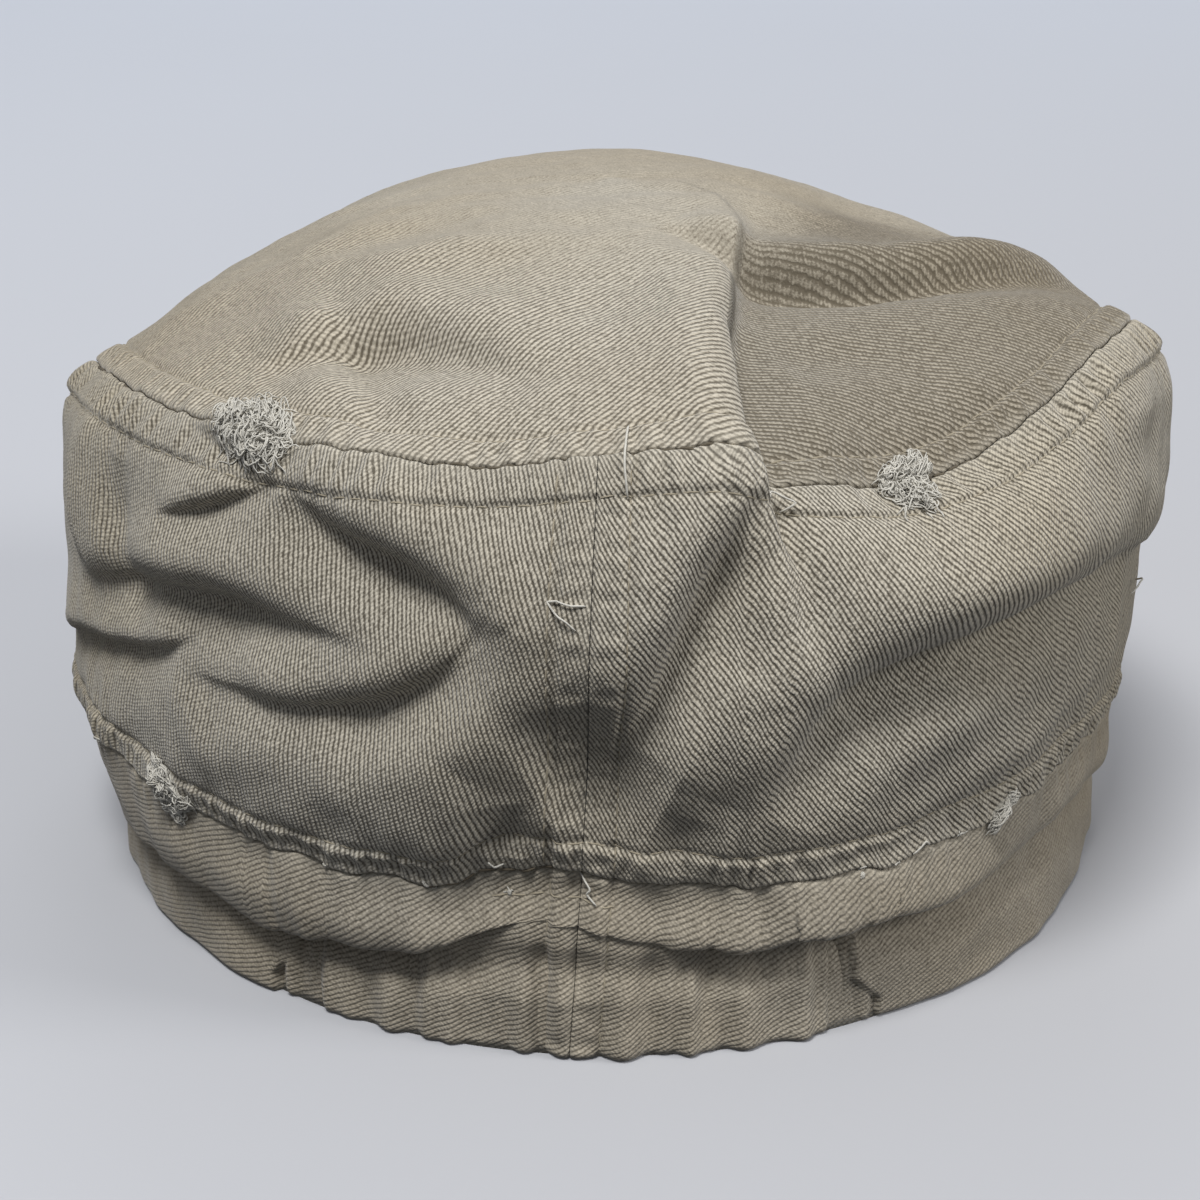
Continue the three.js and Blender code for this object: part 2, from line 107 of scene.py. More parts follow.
# Folds of the cloth: name, how far it stands out, its width, how sharp its step is (0 for a round
# fold), how far a step laps over its low side, and the turns and levels that it passes through. A
# step is high on the left of its way, seen from outside.
FOLDS = [
    ("crest left", 2.2, 10, 0, 0, [(-60, 2.3), (-38, 2.47), (-10, 2.63)]),
    ("crest right", 3.4, 11, 0, 0, [(58, 2.36), (78, 2.2), (100, 2.16)]),
    ("crown left pocket", 4.6, 11, 5.0, 0, [(-45, 2.12), (-41, 2.19), (-36, 2.24), (-29, 2.27),
        (-19, 2.25), (-6, 2.17)]),
    ("crown left hollow", 2.6, 9, 6.0, 0, [(-23, 1.98), (-27, 2.07), (-32, 2.15), (-42, 2.25), (-54, 2.33)]),
    ("crown low swell", 1.6, 7, 0, 0, [(-30, 2.1), (-20, 2.14), (-8, 2.12)]),
    ("crown right drop", 5.6, 9, 3.6, 0, [(18, 2.68), (28, 2.61), (38, 2.54), (54, 2.41), (72, 2.23),
        (84, 2.1)]),
    ("crown far right", -3.6, 17, 0, 0, [(40, 2.66), (80, 2.5), (135, 2.45)]),
    ("crown right sink", -4.0, 10, 0, 0, [(30, 2.56), (48, 2.45), (66, 2.3), (86, 2.12)]),
    ("dip right", -2.4, 13, 0, 0, [(22, 2.3), (40, 2.3), (54, 2.2)]),
    ("back fold", 4.6, 12, 3.6, 0, [(17, 1.5), (14.5, 1.74), (13, 1.95), (12.2, 2.08), (14, 2.22),
        (18.5, 2.36), (25.5, 2.5), (38, 2.62), (64, 2.74)]),
    ("back tuck", 0.9, 6, 1.2, 2.0, [(17, 1.7), (13.2, 1.93), (12.2, 2.06), (13.5, 2.2), (16, 2.3)]),
    ("right shoulder", -3.4, 8, 0, 0, [(15, 2.0), (34, 1.99), (62, 2.0)]),
    ("far left ridge", 2.4, 6, 0, 0, [(-61, 1.93), (-63, 1.72), (-66, 1.5)]),
    ("far left hollow", -3.0, 5, 0, 0, [(-54, 1.86), (-54, 1.7), (-52, 1.55)]),
    ("upper nick", 1.4, 4, 1.5, 0, [(-46, 2.0), (-38, 1.965), (-31, 1.92)]),
    ("lower nick", 2.0, 5, 1.6, 0.6, [(-46, 1.78), (-39, 1.85), (-32, 1.93)]),
    ("left pocket", 4.4, 9, 4, 0.4, [(-66, 1.46), (-53, 1.57), (-44, 1.62), (-36, 1.64), (-29, 1.63),
        (-21, 1.6)]),
    ("low left drop", 2.4, 6, 2, 0.5, [(-84, 1.16), (-70, 1.27), (-58, 1.34), (-48, 1.42), (-42, 1.5)]),
    ("long valley", 4.8, 9, 3.8, 0.8, [(-31, 1.93), (-25, 1.86), (-19, 1.81), (-14, 1.74), (-10.5, 1.62)]),
    ("lower valley", 3.8, 8, 4, 0.4, [(-45, 1.4), (-35, 1.42), (-27, 1.44), (-20, 1.5), (-14, 1.6),
        (-11, 1.7)]),
    ("left bulge", 2.6, 10, 0, 0, [(-46, 1.25), (-28, 1.26), (-13, 1.24)]),
    ("bulge drop", 0.6, 5, 2, 0.4, [(-50, 1.04), (-28, 1.045), (-14, 1.08), (-8, 1.2)]),
    ("ridge by seam", 2.4, 6, 0, 0, [(-8, 1.86), (-9, 1.6), (-11.5, 1.43), (-14, 1.33)]),
    ("centre drop", 4.6, 20, 14, 0, [(-10, 1.42), (-2, 1.48), (7, 1.42)]),
    ("centre hollow", -3.8, 9, 0, 0, [(-6, 1.2), (-2, 1.22), (4, 1.18)]),
    ("right valley", 5.6, 9, 4.8, 0.6, [(0.5, 1.36), (3, 1.53), (6.2, 1.72), (9, 1.85), (11.6, 1.96)]),
    ("centre ridge", 1.8, 5, 0, 0, [(10, 1.56), (7.5, 1.42), (4, 1.2)]),
    ("right swell", 3.4, 9, 0, 0, [(14, 1.84), (21, 1.77), (34, 1.78), (48, 1.78)]),
    ("right diagonal", 7.4, 13, 6.5, 0.5, [(13, 1.2), (16, 1.36), (20, 1.5), (27, 1.58), (36, 1.6),
        (48, 1.56), (62, 1.5), (82, 1.44)]),
    ("right low ridge", 2.2, 6, 0, 0, [(60, 1.36), (42, 1.4), (30, 1.36), (19, 1.16)]),
    ("right low drop", 0.8, 6, 3, 0, [(16, 1.02), (28, 1.08), (46, 1.16), (64, 1.18)]),
    ("left tuck", -2, 4, 0, 0, [(-9.5, 1.04), (-9.8, 1.1), (-10.5, 1.2)]),
    ("right tuck", -1.6, 4, 0, 0, [(5.5, 1.03), (6, 1.1), (7, 1.18)]),
    ("band top hollow", -3.4, 6, 0, 0, [(-18, 0.9), (-6, 0.9), (16, 0.86)]),
    ("left band lip", 3.4, 7, 0.8, 3.4, [(-84, 0.45), (-66, 0.5), (-50, 0.57), (-43, 0.59), (-36, 0.55),
        (-29, 0.62), (-22, 0.62), (-15, 0.69), (-9, 0.72)]),
    ("middle band lip", 0.7, 5, 1.4, 1.0, [(-14, 0.72), (-4, 0.73), (6, 0.65), (11, 0.64)]),
    ("right band lip", 3.6, 7, 0.8, 3.4, [(5, 0.63), (9, 0.69), (13, 0.67), (18, 0.75), (22, 0.73),
        (27, 0.77), (33, 0.7), (41, 0.69), (50, 0.63)]),
    ("side band lip", 1.8, 8, 2.5, 0.6, [(46, 0.6), (60, 0.65), (84, 0.53)]),
    ("front dip", -1.6, 12, 0, 0, [(150, 1.7), (172, 1.55), (200, 1.66)]),
    ("front side dip", -2, 10, 0, 0, [(104, 1.75), (112, 1.5), (118, 1.25)]),
    ("left side dip", -1.8, 10, 0, 0, [(-100, 1.7), (-112, 1.5), (-124, 1.3)]),
]
FOLD_SAMPLES = 14
FOLD_REACH = 3
FOLD_END_POWER = 0.8
ROUND_END_SHARE = 0.25
WAY_LEVEL_MM = 60.0
STEP_FOOT_SHARE = 0.45
LAP_START, LAP_END, LAP_WIDTH = -0.6, 0.9, 0.6
TURN_PROBE = 0.2
LEVEL_PROBE = 0.03
RIM_UPRIGHT_LEVELS = 0.15
CROWN_FLAT_LEVEL = 2.97
CROWN_LAST_LEVEL = 2.9999
NO_SEAM = 1e3
RIPPLE_WAVES = 14
RIPPLE_LENGTH = 2.2
RIPPLE_FULL = 5.3

# Edges of the gathered stretch at the back of the band: levels, and the turn at each
ELASTIC_LEFT = (0.12, 0.31, 0.445), (-37.5, -35, -34.5)
ELASTIC_RIGHT = (0.13, 0.29, 0.62), (28.5, 25.5, 25.5)
ELASTIC_EDGE = 0.25
ELASTIC_SUNK = 1.4
GATHERS_LOW, GATHERS_HIGH = 0.72, 0.3
# Relief beside a topstitched seam, in mm: the groove of the stitches, the doubled cloth inside it, and
# the lengths of the puckers along it
GROOVE_DEPTH, GROOVE_WIDTH = 0.62, 0.55
DOUBLED_CLOTH = 0.5
PUCKER_LENGTH, SMALL_PUCKER_LENGTH, DRAWN_LENGTH = 4.1, 2.6, 7.3


# Surface of the cloth

def smooth_column(rows, x, y, at, flat_ends=False):
    """A smooth curve through two columns of a table, without overshoot."""
    xs, ys = rows[x], rows[y]
    rise = np.diff(ys) / np.diff(xs)
    both = rise[:-1] * rise[1:]
    slope = np.zeros_like(ys)
    slope[1:-1] = np.where(both > 0, 2 * both / np.where(both > 0, rise[:-1] + rise[1:], 1), 0)
    if not flat_ends:
        slope[0], slope[-1] = rise[0], rise[-1]
    k = np.clip(np.searchsorted(xs, at) - 1, 0, len(xs) - 2)
    gap = xs[k + 1] - xs[k]
    s = (at - xs[k]) / gap
    rest = 1 - s
    return (ys[k] * (1 + 2 * s) * rest**2 + gap * slope[k] * s * rest**2
            + ys[k + 1] * s**2 * (3 - 2 * s) - gap * slope[k + 1] * s**2 * rest)


def smoothstep(x, low, high):
    s = np.clip((x - low) / (high - low), 0, 1)
    return s * s * (3 - 2 * s)


def fade(x, low, high):
    return 1 - smoothstep(x, low, high)


def bell(distance, width):
    return np.exp(-((distance / width) ** 2))


def unit(v):
    return v / np.maximum(np.linalg.norm(v, axis=-1, keepdims=True), 1e-9)


def same_shape(a, b):
    return np.broadcast_arrays(np.asarray(a, float), np.asarray(b, float))


def wrapped(turn):
    """The same turn from -180 up to 180 degrees."""
    return turn - 360 * np.floor((turn + 180) / 360)


def seam_heights(turn):
    at = wrapped(turn)
    return [smooth_column(HEIGHTS, "turn", seam, at, True) for seam in ("rim", "band", "crown")]


def plain_surface(turn, level):
    """The cap before its folds."""
    turn, level = same_shape(turn, level)
    wall = np.minimum(level, 2)
    to_middle = np.where(level > 2, 3 - level, 1)
    sine, cosine = np.sin(np.radians(turn)), np.cos(np.radians(turn))
    ring = {side: smooth_column(RINGS, "level", side, wall) for side in ("left", "right", "back", "front")}
    x = np.where(sine > 0, ring["right"], ring["left"]) * sine * to_middle
    y = -np.where(cosine > 0, ring["back"], ring["front"]) * cosine * to_middle
    rim, band, crown = seam_heights(turn)
    z = np.where(level <= 1, rim + (band - rim) * level, band + (crown - band) * (wall - 1))
    z = z + np.where(level > 2, (CROWN_HEIGHT - crown) * (1 - to_middle**DOME_POWER), 0)
    return np.stack([x, y, z], -1)


def outward(turn, level):
    """Straight out of the plain surface; level with the floor near the rim."""
    turn, level = same_shape(turn, level)
    low = np.maximum(level - LEVEL_PROBE, 0)
    high = np.minimum(level + LEVEL_PROBE, CROWN_LAST_LEVEL)
    round_way = plain_surface(turn + TURN_PROBE, level) - plain_surface(turn - TURN_PROBE, level)
    up_way = plain_surface(turn, high) - plain_surface(turn, low)
    out = np.cross(round_way, up_way)
    out[..., 2] *= smoothstep(level, 0, RIM_UPRIGHT_LEVELS)
    return np.where((level > CROWN_FLAT_LEVEL)[..., None], [0.0, 0.0, 1.0], unit(out))


def fold_way(points):
    """The way of a fold: a smooth curve through its turns and levels, as points on the plain surface."""
    p = np.array([(turn, level * WAY_LEVEL_MM) for turn, level in points], float)
    p = np.vstack([2 * p[0] - p[1], p, 2 * p[-1] - p[-2]])
    made = []
    for t in np.linspace(0, len(points) - 1, FOLD_SAMPLES + 1):
        k = min(int(t), len(points) - 2)
        w = t - k
        a, b, c, d = p[k:k + 4]
        ab, bc, cd = (np.linalg.norm(v) ** 0.5 for v in (b - a, c - b, d - c))
        start = bc * ((b - a) / ab - (c - a) / (ab + bc) + (c - b) / bc)
        end = bc * ((c - b) / bc - (d - b) / (bc + cd) + (d - c) / cd)
        made.append(b + start * w + (3 * (c - b) - 2 * start - end) * w**2
                    + (2 * (b - c) + start + end) * w**3)
    made = np.array(made)
    return plain_surface(made[:, 0], made[:, 1] / WAY_LEVEL_MM)


def nearest_on_way(place, points):
    """Nearest point on a way: how far it is, its share along the way, the offset from it, the heading."""
    best, along = np.full(len(place), np.inf), np.zeros(len(place))
    away, heading = np.zeros_like(place), np.zeros_like(place)
    for i in range(len(points) - 1):
        go = points[i + 1] - points[i]
        off = place - points[i]
        share = np.clip(off @ go / (go @ go), 0, 1)
        off = off - share[:, None] * go
        far = np.linalg.norm(off, axis=1)
        better = far < best
        best[better], away[better], heading[better] = far[better], off[better], unit(go)
        along[better] = (i + share[better]) / (len(points) - 1)
    return best, along, away, heading


def fold_shape(place, out):
    """How far the folds move each point outward, and the way that steps lap over."""
    shape = place.shape[:-1]
    place, out = place.reshape(-1, 3), out.reshape(-1, 3)
    height, lapped = np.zeros(len(place)), np.zeros_like(place)
    for _, depth, width, step, lap, way in FOLDS:
        points = fold_way(way)
        reach = width * FOLD_REACH
        at = np.flatnonzero(np.all((place > points.min(0) - reach) & (place < points.max(0) + reach), 1))
        if not len(at):
            continue
        best, along, away, heading = nearest_on_way(place[at], points)
        swell = np.sin(np.pi * along) ** FOLD_END_POWER
        lift = depth * bell(best, width)
        if step:
            side = np.einsum("ij,ij->i", np.cross(heading, away), out[at])
            sharp = np.where(side > 0, step, STEP_FOOT_SHARE * step)
            height[at] += lift * swell * np.tanh(side / sharp)
            edge = smoothstep(side, LAP_START * step, LAP_END * step) * bell(best, LAP_WIDTH * width)
            lapped[at] += (lap * swell * edge)[:, None] * unit(np.cross(heading, out[at]))
        else:
            height[at] += lift * (ROUND_END_SHARE + (1 - ROUND_END_SHARE) * swell)
    return height.reshape(shape), lapped.reshape(shape + (3,))


def ripple(seed, size, *coordinates):
    """Smooth random relief from -1 to 1 with bumps of about that size."""
    random = np.random.default_rng(seed)
    total = 0
    for _ in range(RIPPLE_WAVES):
        wave = random.normal(size=len(coordinates))
        wave *= random.uniform(0.5, 1.3) * 2 * np.pi / (RIPPLE_LENGTH * size) / np.linalg.norm(wave)
        turn = random.uniform(0, 2 * np.pi)
        total = total + np.sin(sum(w * c for w, c in zip(wave, coordinates)) + turn)
    return total / RIPPLE_FULL


def centre_seam(level):
    return SEAM_TURN + SEAM_LEAN * np.minimum(level, 2)


def measures(turn, level):
    """Distances in mm on the cloth, to the seams and the rim, and the way round the cap."""
    rim, band, crown = seam_heights(turn)
    edge = plain_surface(turn, np.minimum(level, 2))
    radius = np.hypot(edge[..., 0], edge[..., 1])
    slope = np.hypot(1, 2 * (CROWN_HEIGHT - crown) / radius)
    return {
        "crown": np.where(level > 2, (level - 2) * radius * slope, (2 - level) * (crown - band)),
        "band": np.where(level > 1, (level - 1) * (crown - band), (1 - level) * (band - rim)),
        "rim": level * (band - rim),
        "centre": np.where(level <= 2, (turn - centre_seam(level)) * np.pi / 180 * radius, NO_SEAM),
        "round": np.radians(wrapped(turn)) * GIRTH_RADIUS,
    }


def rolled(distance, radius):
    """Inward drop of an edge rolled with that radius."""
    inside = np.clip(radius - distance, 0, radius)
    return radius - np.sqrt(radius**2 - inside**2 + 1e-9)


def seam_relief(d, s, seed, topstitch, pucker=1.0, edge=0.9):
    """Height of the cloth beside a seam at distance d, at the place s along it."""
    d = np.abs(d)
    height = -rolled(d, edge)
    wander = 2.2 * ripple(seed, 14, s)
    small = np.sin(2 * np.pi * s / PUCKER_LENGTH + wander + 0.25 * d)
    smaller = np.sin(2 * np.pi * s / SMALL_PUCKER_LENGTH + 1.7 * wander - 0.35 * d)
    amount = pucker * (0.55 + 0.45 * ripple(seed + 1, 18, s))
    if not topstitch:
        return height + bell(d, 5) * amount * (0.22 * small + 0.1 * smaller)
    between = np.clip(np.sin(np.pi * np.clip(d / ALLOWANCE, 0, 1)), 0, 1) ** 0.7
    height += DOUBLED_CLOTH * fade(d, ALLOWANCE - 0.7, ALLOWANCE + 0.9)
    height += between * amount * (0.5 * small + 0.24 * smaller)
    height -= GROOVE_DEPTH * bell(d - ALLOWANCE, GROOVE_WIDTH)
    past = np.clip(d - ALLOWANCE, 0, None)
    drawn = np.sin(2 * np.pi * s / DRAWN_LENGTH + 1.3 * wander)
    return height + 0.42 * amount * drawn * smoothstep(past, 0, 1.5) * np.exp(-past / 5)


def cloth_relief(turn, level, place, part):
    """Small relief that the plain solids leave out: seams, puckers, gathers and soft creases."""
    m = measures(turn, level)
    x, y, z = place[..., 0], place[..., 1], place[..., 2]
    back = fade(np.abs(turn), 75, 120)
    height = (0.4 + 0.35 * back) * ripple(5, 12, x, y, z) + (0.15 + 0.12 * back) * ripple(6, 5, x, y, z)
    if part == "crown":
        return height + seam_relief(m["crown"], m["round"], 21, True, 0.6)
    if part == "side":
        height += seam_relief(m["crown"], m["round"], 31, True)
        height += seam_relief(m["band"], m["round"], 41, True)
        return height + seam_relief(m["centre"], 0.97 * z, 51, True, 0.5, 0.5)
    height += seam_relief(m["band"], m["round"], 61, False)
    height += seam_relief(m["centre"], 0.97 * z, 71, True, 0.4, 0.7)
    height -= rolled(m["rim"], 1.5)
    low = fade(level, 0.45, 0.62)
    edge_left = np.interp(level, *ELASTIC_LEFT)
    edge_right = np.interp(level, *ELASTIC_RIGHT)
    elastic = smoothstep(turn, edge_left - ELASTIC_EDGE, edge_left + ELASTIC_EDGE)
    elastic *= fade(turn, edge_right - ELASTIC_EDGE, edge_right + ELASTIC_EDGE)
    s = m["round"]
    gathers = np.sin(2 * np.pi * s / 10.5 + 2.4 * ripple(81, 16, s) + 0.05 * z)
    gathers += 0.5 * np.sin(2 * np.pi * s / 5.9 + 2 * ripple(82, 12, s) - 0.08 * z)
    height += elastic * gathers * (GATHERS_LOW * low + GATHERS_HIGH * (1 - low))
    return height - ELASTIC_SUNK * elastic * low


def seam_waves(turn, level):
    """How far the two long seams wander up and down, in mm."""
    m = measures(turn, level)
    degrees = np.abs(np.degrees(m["round"] / GIRTH_RADIUS))
    coarse, fine = fade(degrees, 120, 170), fade(degrees, 75, 90)
    crown = 0.32 * coarse * ripple(23, 4.5, m["round"]) + 0.14 * fine * ripple(25, 1.8, m["round"])
    band = 0.6 * coarse * ripple(24, 6, m["round"]) + 0.2 * fine * ripple(26, 2.2, m["round"])
    return crown * bell(m["crown"], 5) + band * bell(m["band"], 5)


def cloth_point(turn, level, depth, part=None):
    """A point on the outside of the cloth, or depth mm inside it, with the part's small relief."""
    turn, level = same_shape(turn, level)
    place, out = plain_surface(turn, level), outward(turn, level)
    height, lapped = fold_shape(place, out)
    if part:
        height = height + cloth_relief(turn, level, place, part)
    point = place + (height - depth)[..., None] * out + lapped
    point[..., 2] = np.maximum(point[..., 2] + seam_waves(turn, level), 0)
    return point


def cloth_skin(turn, level):
    """A point on the outside of whichever part lies at that level, with its small relief."""
    turn, level = same_shape(turn, level)
    band, side, crown = (cloth_point(turn, level, 0.0, part) for part in ("band", "side", "crown"))
    above = np.where((level > 2)[..., None], crown, side)
    return np.where((level < 1)[..., None], band, above)


# Meshes

def placed(name, data):
    """A new object in the scene."""
    thing = bpy.data.objects.new(name, data)
    bpy.context.scene.collection.objects.link(thing)
    return thing


def new_object(name, points, faces, uv=None, **attributes):
    """A smooth mesh object from points in mm."""
    mesh = bpy.data.meshes.new(name)
    points = (np.asarray(points) - CAP_MIDDLE) / 1000
    mesh.from_pydata(points, [], faces)
    mesh.polygons.foreach_set("use_smooth", np.ones(len(mesh.polygons), bool))
    if uv is not None:
        layer = mesh.uv_layers.new(name="UVMap")
        corner = np.empty(len(mesh.loops), int)
        mesh.loops.foreach_get("vertex_index", corner)
        layer.data.foreach_set("uv", (np.asarray(uv)[corner] / UV_MM).astype(np.float32).ravel())
    for key, values in attributes.items():
        attribute = mesh.attributes.new(key, "FLOAT", "POINT")
        attribute.data.foreach_set("value", np.asarray(values, np.float32))
    mesh.update()
    return placed(name, mesh)


def grid_faces(index, flip=False, closed=False):
    """Quads of a grid of point indices, rows by columns."""
    if closed:
        index = np.hstack([index, index[:, :1]])
    a, b, c, d = index[:-1, :-1], index[:-1, 1:], index[1:, 1:], index[1:, :-1]
    quads = np.stack([a, b, c, d] if not flip else [a, d, c, b], -1)
    return quads.reshape(-1, 4).tolist()


def fan_faces(long_side, short_side, flip=False):
    """Triangles between two edges with different numbers of points."""
    faces, j = [], 0
    for i in range(len(long_side) - 1):
        target = round((i + 1) * (len(short_side) - 1) / (len(long_side) - 1))
        faces.append([long_side[i], long_side[i + 1], short_side[j]])
        while j < target:
            faces.append([long_side[i + 1], short_side[j + 1], short_side[j]])
            j += 1
    return [f[::-1] for f in faces] if flip else faces


def spaced(length, fine, coarse, marks, reach):
    """Distances from 0 to length, close together near the marks."""
    at = [0.0]
    while at[-1] < length:
        near = min(abs(at[-1] - mark) for mark in marks)
        at.append(at[-1] + fine + (coarse - fine) * min(near / reach, 1))
    return np.array(at) * (length / at[-1])


pieces = {}


def cloth_piece(node, turns, levels, inner_levels, wall, closed=False):
    """A piece of cloth: a fine outside, a coarser inside, and its edges; closed if it goes right round."""
    part = node.split("_")[0]

    def place_grid(at):
        level, turn = np.meshgrid(at, turns, indexing="ij")
        if not closed:
            turn = turn + centre_seam(level) * fade(np.abs(turn), 0, SEAM_FADE)
        return turn, level
    turn, level = place_grid(levels)
    turn_in, level_in = place_grid(inner_levels)
    outer = cloth_point(turn, level, 0.0, part)
    inner = cloth_point(turn_in, level_in, wall)
    count = turn.size
    out = np.arange(count).reshape(turn.shape)
    back = count + np.arange(turn_in.size).reshape(turn_in.shape)
    faces = grid_faces(out, closed=closed) + grid_faces(back, flip=True, closed=closed)
    faces += grid_faces(np.stack([back[0], out[0]]), closed=closed)
    if closed:
        turned = np.roll(out[-1], -1), np.roll(back[-1], -1)
        tip = count + turn_in.size
        faces += [[a, b, tip] for a, b in zip(out[-1].tolist(), turned[0].tolist())]
        faces += [[b, a, tip + 1] for a, b in zip(back[-1].tolist(), turned[1].tolist())]
    else:
        faces += grid_faces(np.stack([out[-1], back[-1]]))
        faces += fan_faces(out[:, 0].tolist(), back[:, 0].tolist(), flip=True)
        faces += fan_faces(out[:, -1].tolist(), back[:, -1].tolist())
    points = np.concatenate([outer.reshape(-1, 3), inner.reshape(-1, 3)])
    outside = cloth_fields(turn, level, outer, part)
    inside = cloth_fields(turn_in, level_in, inner, part)
    fields = {key: np.concatenate([outside[key], inside[key]]) for key in outside}
    if closed:
        points = np.vstack([points, outer[-1].mean(0), inner[-1].mean(0)])
        tips = count - 1, len(points) - 3
        fields = {key: np.concatenate([values, values[list(tips)]]) for key, values in fields.items()}
    pieces[node] = new_object(f"{node}_cloth", points, faces, **fields)


# Direction of the weave on each piece: the angle of the twill lines from the way round the cap at the
# middle of the piece, and the radius of the flat pattern that the piece was cut from
NEARLY_STRAIGHT = 2000.0
PATTERN_MIDDLE = 31.0
WEAVE = {
    "crown left": (45.0, NEARLY_STRAIGHT),
    "crown right": (-8.0, NEARLY_STRAIGHT),
    "side left": (-69.0, 250.0),
    "side right": (-52.0, NEARLY_STRAIGHT),
    "band": (25.0, NEARLY_STRAIGHT),
    "peak": (45.0, NEARLY_STRAIGHT),
}
CROWN_STRETCH = 0.92
FOLD_PULL = {"crown": 0.15, "side": 0.6, "band": 0.3}
# The way of the fold that parts the two sides of the crown top
PARTING = [(14, 1.9), (12.2, 2.08), (14, 2.22), (18.5, 2.36), (25.5, 2.5), (38, 2.62), (58, 2.78), (75, 2.97)]


def side_of_way(place, out, way):
    """Distance in mm to the left of a way on the cloth, seen from outside."""
    _, _, away, heading = nearest_on_way(place, fold_way(way))
    return np.einsum("ij,ij->i", np.cross(heading, away), out)


def weave_place(across, up, angle, radius):
    """Place in the flat pattern, as mm across and along the twill lines."""
    swing = across / (radius + PATTERN_MIDDLE)
    x = (radius + up) * np.sin(swing)
    y = (radius + up) * np.cos(swing) - radius
    a = np.radians(angle)
    return np.stack([-x * np.sin(a) + y * np.cos(a), x * np.cos(a) + y * np.sin(a)], -1)


# Frayed places: turn, level, width and height in mm, and the number, direction and length of their fibres
FRAYS = [
    (-36.6, 2.012, 14.5, 7.5, 1150, 20, 4.6),
    (29.0, 1.994, 8.5, 7.5, 600, 10, 4.0),
    (-46.4, 1.03, 6.5, 8.5, 480, 85, 4.2),
    (41.5, 1.005, 4.2, 4.0, 190, 40, 3.2),
]
# Small nicks along the seams, in the same columns
NICKS = [
    (-17, 1.0, 1.6, 1.0, 9, 40, 1.4),
    (24, 0.985, 2.0, 1.2, 14, 20, 1.8),
    (28, 1.0, 1.4, 1.0, 9, 70, 1.4),
    (36, 1.0, 2.0, 1.0, 12, 30, 1.6),
    (-10, 0.87, 1.0, 1.0, 5, 60, 1.4),
    (14, 1.96, 2.2, 1.4, 14, 20, 2.4),
    (-62, 1.01, 1.6, 1.6, 8, 80, 1.6),
    (-27, 1.0, 1.2, 1.0, 6, 10, 1.2),
]
# Worn edges: which, how much, and how wide in mm
WORN_EDGES = [("crown", 1.0, 1.6), ("band", 1.0, 1.5), ("centre", 0.5, 1.2), ("rim", 0.7, 1.5)]


def fray_offsets(turn, level, fray_turn, fray_level):
    """Offsets in mm, round the cap and up, from the middle of a frayed place."""
    here, middle = measures(turn, level), measures(fray_turn, fray_level)
    up = np.where(level > 2, here["crown"], -here["crown"])
    up_middle = middle["crown"] if fray_level > 2 else -middle["crown"]
    return here["round"] - middle["round"], up - up_middle


def cloth_length(turn, level, points, pull):
    """Length in mm of the folded cloth up each column of points; part of each fold is slack."""
    folded = np.linalg.norm(np.diff(points, axis=0), axis=-1)
    plain = np.linalg.norm(np.diff(plain_surface(turn, level), axis=0), axis=-1)
    rise = plain + pull * (folded - plain)
    return np.vstack([np.zeros((1, points.shape[1])), np.cumsum(rise, axis=0)])


def cloth_fields(turn, level, points, part):
    """What the materials read from the mesh: the place in the weave, wear, tone, worn places and the painted
    shade on the crown top.
    """
    m = measures(turn, level)
    x, y, z = points[..., 0], points[..., 1], points[..., 2]
    length = cloth_length(turn, level, points, FOLD_PULL[part])
    if part == "crown":
        plain, out = plain_surface(turn, level), outward(turn, level)
        edge = CROWN_STRETCH * plain_surface(turn, 2.0)[..., :2] * (1 - length / length[-1])[..., None]
        left = side_of_way(plain.reshape(-1, 3), out.reshape(-1, 3), PARTING).reshape(turn.shape)
        left = smoothstep(left, -0.8, 0.8)[..., None]
        (left_angle, radius), (right_angle, _) = WEAVE["crown left"], WEAVE["crown right"]
        right_angle = right_angle + (left_angle - right_angle) * smoothstep(turn, 75, 215)
        uv = left * weave_place(edge[..., 0], edge[..., 1], left_angle, radius)
        uv = uv + (1 - left) * weave_place(edge[..., 0], edge[..., 1], right_angle, radius)
    elif part == "side":
        left = weave_place(m["centre"], length, *WEAVE["side left"])
        right = weave_place(m["centre"], length, *WEAVE["side right"])
        uv = np.where((m["centre"] < 0)[..., None], left, right)
    else:
        uv = weave_place(m["centre"], length, *WEAVE["band"])
    worn = sum(amount * bell(m[seam], width) for seam, amount, width in WORN_EDGES
               if part != "crown" or seam != "rim")
    sides = smoothstep(np.abs(turn), 18, 75)
    tone = 0.2 + 0.4 * sides + (0.12 if part == "band" else 0.0) + 0.15 * ripple(91, 22, x, y, z)
    # Painted shade: the colour of the crown top is darkened right of its parting fold, towards its seam,
    # where shade falls
    painted_shade = np.zeros_like(x)
    if part == "crown":
        painted_shade = (1 - left[..., 0]) * fade(turn, 80, 110) * fade(level, 2.5, 2.72)
    fray = np.zeros_like(x)
    for k, (fray_turn, fray_level, wide, high, *_) in enumerate(FRAYS):
        a, b = fray_offsets(turn, level, fray_turn, fray_level)
        far = np.hypot(a / wide * 2, b / high * 2)
        far = far + 0.25 * ripple(101 + k, 2.2, x, y, z)
        fray = np.maximum(fray, fade(far, 0.7, 1.1))
    crisp = (0.55 if part == "band" else 1.0) - 0.45 * smoothstep(np.abs(turn), 30, 85)
    crisp = crisp * (1 - 0.75 * smoothstep(level, 2.3, 2.65))
    fields = {"wear": worn, "tone": tone, "fray": fray, "crisp": crisp, "painted_shade": painted_shade}
    return {"uv": uv.reshape(-1, 2)} | {key: values.ravel() for key, values in fields.items()}


